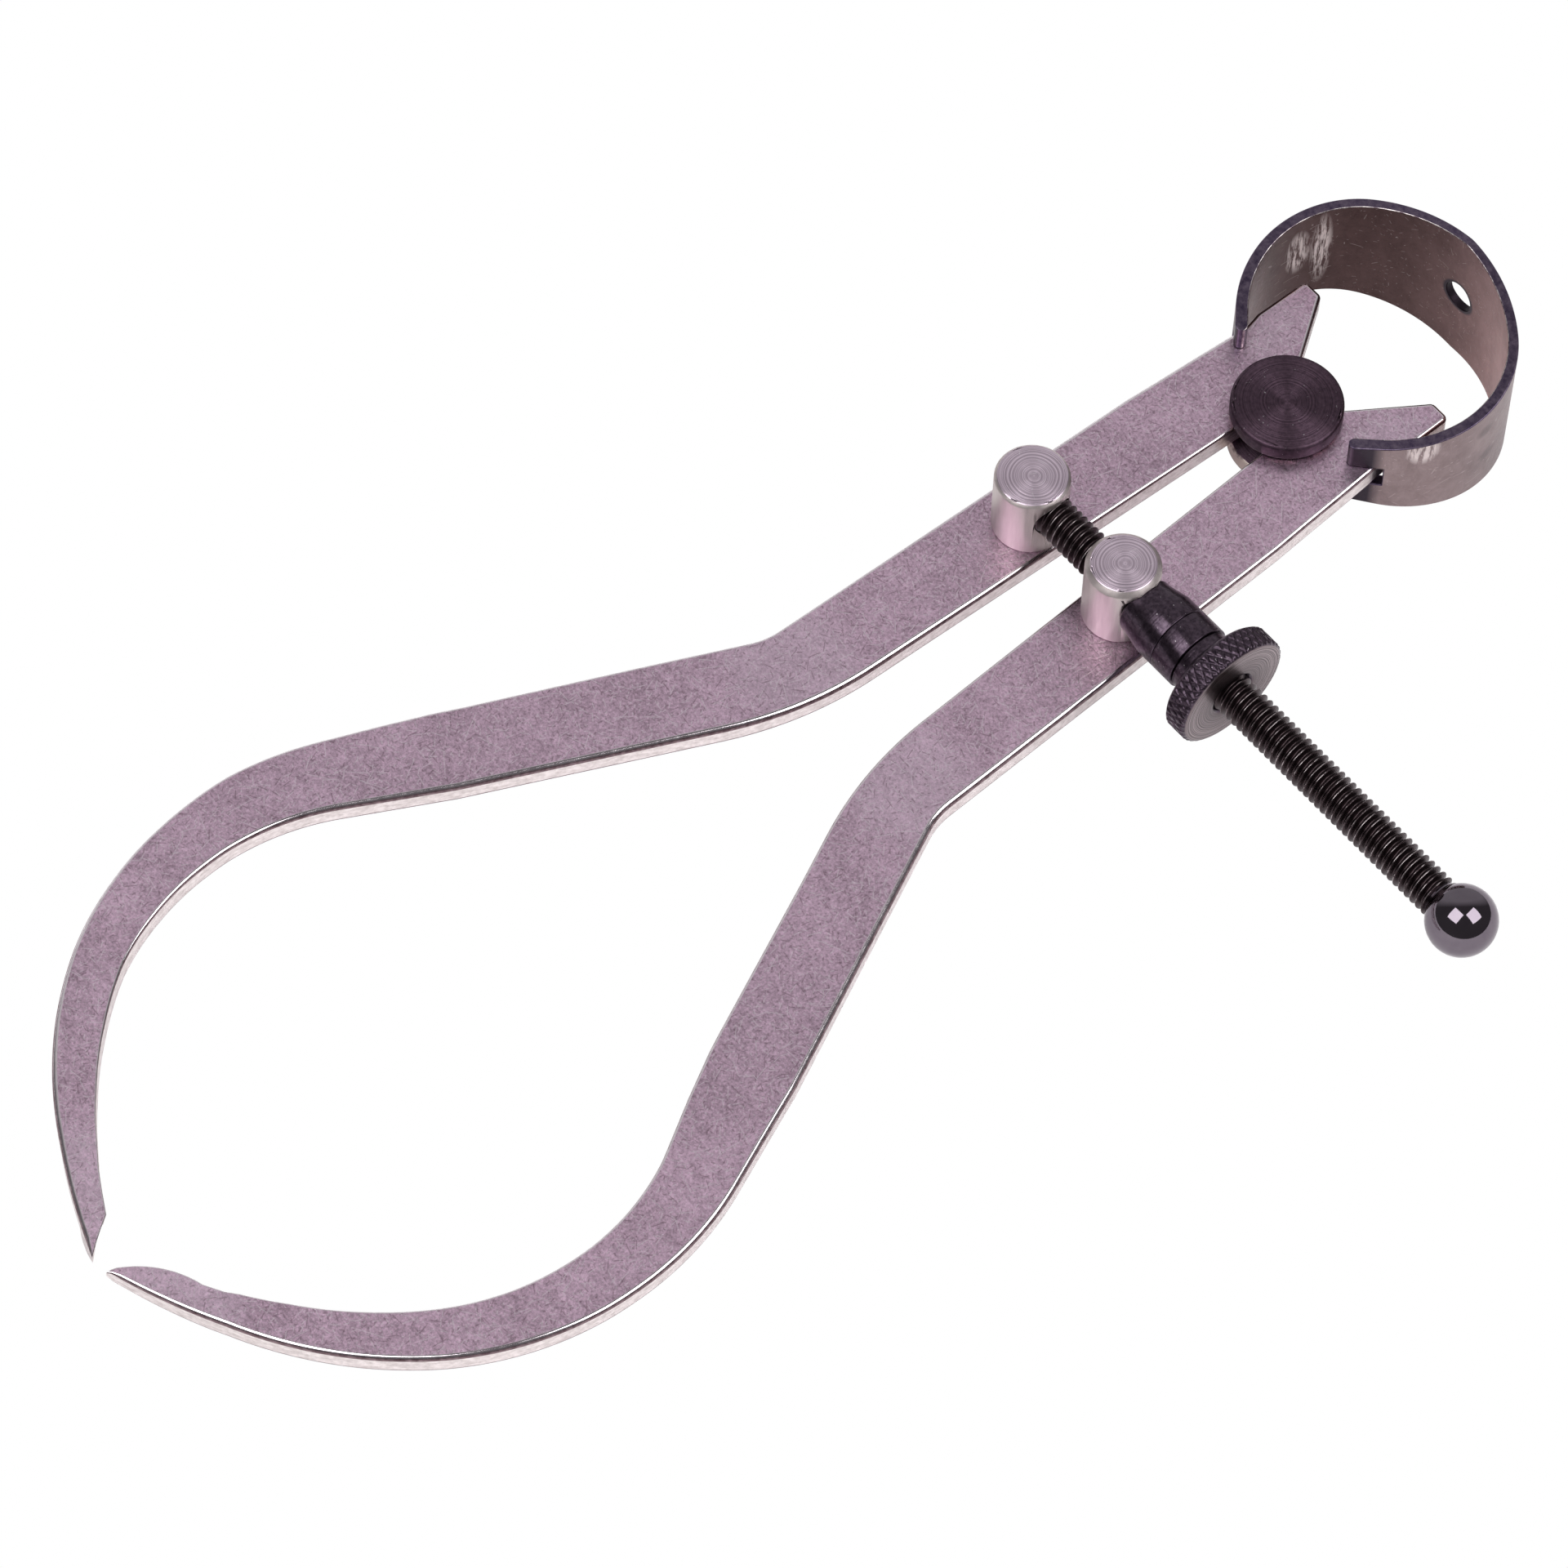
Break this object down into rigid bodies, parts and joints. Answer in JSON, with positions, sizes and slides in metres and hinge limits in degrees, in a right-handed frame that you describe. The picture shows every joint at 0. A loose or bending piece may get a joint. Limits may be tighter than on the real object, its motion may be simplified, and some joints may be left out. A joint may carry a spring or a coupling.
{
  "type": "outside caliper",
  "caption": "Spring outside caliper: two bowed flat legs on a fulcrum stud, closed by a bow spring and set by a screw with a knurled nut and ball end.",
  "frame": {"origin": "on the fulcrum axis, on the underside of the fulcrum stud", "axes": "+Z along the fulcrum axis, up through the posts; +Y along the caliper from the points to the bow spring; +X towards the ball end of the screw"},
  "size_m": [0.1008, 0.1868, 0.0235],
  "materials": {
    "leg_steel": "satin ground, fine random scratches",
    "post_steel": "turned",
    "blacked_steel": "blacked, satin",
    "spring_steel": "tempered, dark with worn patches",
    "polished_black": "polished black"
  },
  "bodies": {
    "left_side": {"left_leg": "leg_steel", "bow_spring": "spring_steel"},
    "right_side": {"right_leg": "leg_steel"},
    "stud": {"fulcrum_stud": "blacked_steel"},
    "screw_swivel": {"left_post": "post_steel", "adjusting_screw": "blacked_steel", "ball_knob": "polished_black"},
    "nut_swivel": {"right_post": "post_steel", "nut_nose": "blacked_steel"},
    "nut": {"nut_sleeve": "blacked_steel", "knurled_nut": "blacked_steel"}
  },
  "joints": [
    {"name": "leg_hinge", "type": "hinge", "parent": "left_side", "child": "right_side", "pos_m": [0, 0, 0.00375], "axis": [0, 0, 1], "range_deg": [-0.7, 55], "deforming": ["bow_spring"]},
    {"name": "stud_turn", "type": "hinge", "parent": "left_side", "child": "stud", "pos_m": [0, 0, 0.00375], "axis": [0, 0, 1], "range_deg": [-0.5, 28]},
    {"name": "screw_post_turn", "type": "hinge", "parent": "left_side", "child": "screw_swivel", "pos_m": [-0.00726, -0.0302, 0.00375], "axis": [0, 0, 1], "range_deg": [-0.5, 28]},
    {"name": "nut_post_turn", "type": "hinge", "parent": "right_side", "child": "nut_swivel", "pos_m": [0.00726, -0.0302, 0.00375], "axis": [0, 0, 1], "range_deg": [-28, 0.5]},
    {"name": "nut_spin", "type": "hinge", "parent": "nut_swivel", "child": "nut", "pos_m": [0.022, -0.0302, 0.01045], "axis": [1, 0, 0], "range_deg": [-160, 10960]}
  ],
  "couplings": [
    {"joint": "stud_turn", "follows": "leg_hinge", "ratio": 0.5},
    {"joint": "screw_post_turn", "follows": "leg_hinge", "ratio": 0.5},
    {"joint": "nut_post_turn", "follows": "leg_hinge", "ratio": -0.5},
    {"joint": "nut_spin", "follows": "leg_hinge", "ratio": 199}
  ]
}
